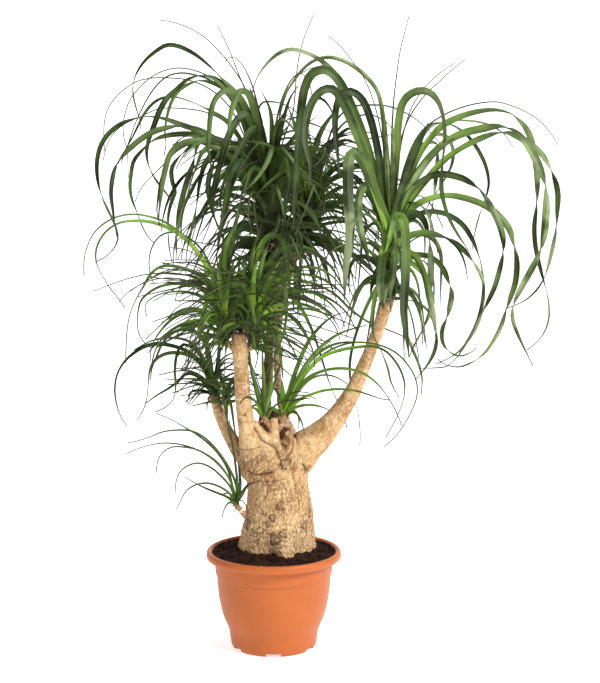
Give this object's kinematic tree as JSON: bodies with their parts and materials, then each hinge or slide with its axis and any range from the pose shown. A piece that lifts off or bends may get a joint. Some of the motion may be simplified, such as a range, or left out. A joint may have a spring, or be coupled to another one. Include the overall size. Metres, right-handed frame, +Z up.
{
  "type": "potted ponytail palm",
  "caption": "Branched ponytail palm with a swollen woody base and arching ribbon leaves, in a round plastic pot of soil.",
  "frame": {"origin": "middle of the flat disc under the pot's foot, on the surface that it stands on", "axes": "+Z up through the plant, +X towards the thick arm that leans out, -Y is the front"},
  "size_m": [1.2292, 0.9425, 1.6],
  "materials": {
    "pot": "satin",
    "soil": "matte",
    "bark": "matte",
    "leaf": "satin",
    "young_leaf": "satin"
  },
  "bodies": {
    "root": {"pot": "pot", "soil": "soil", "trunk": "bark", "crown_right": "leaf", "crown_upper_left": "leaf", "crown_back": "leaf", "crown_middle_left": "leaf", "crown_middle_right": "leaf", "crown_lower_left": "leaf", "tuft_lower_left": "leaf", "tuft_centre_left": "young_leaf", "tuft_centre_right": "young_leaf", "tuft_base": "leaf"}
  },
  "joints": []
}
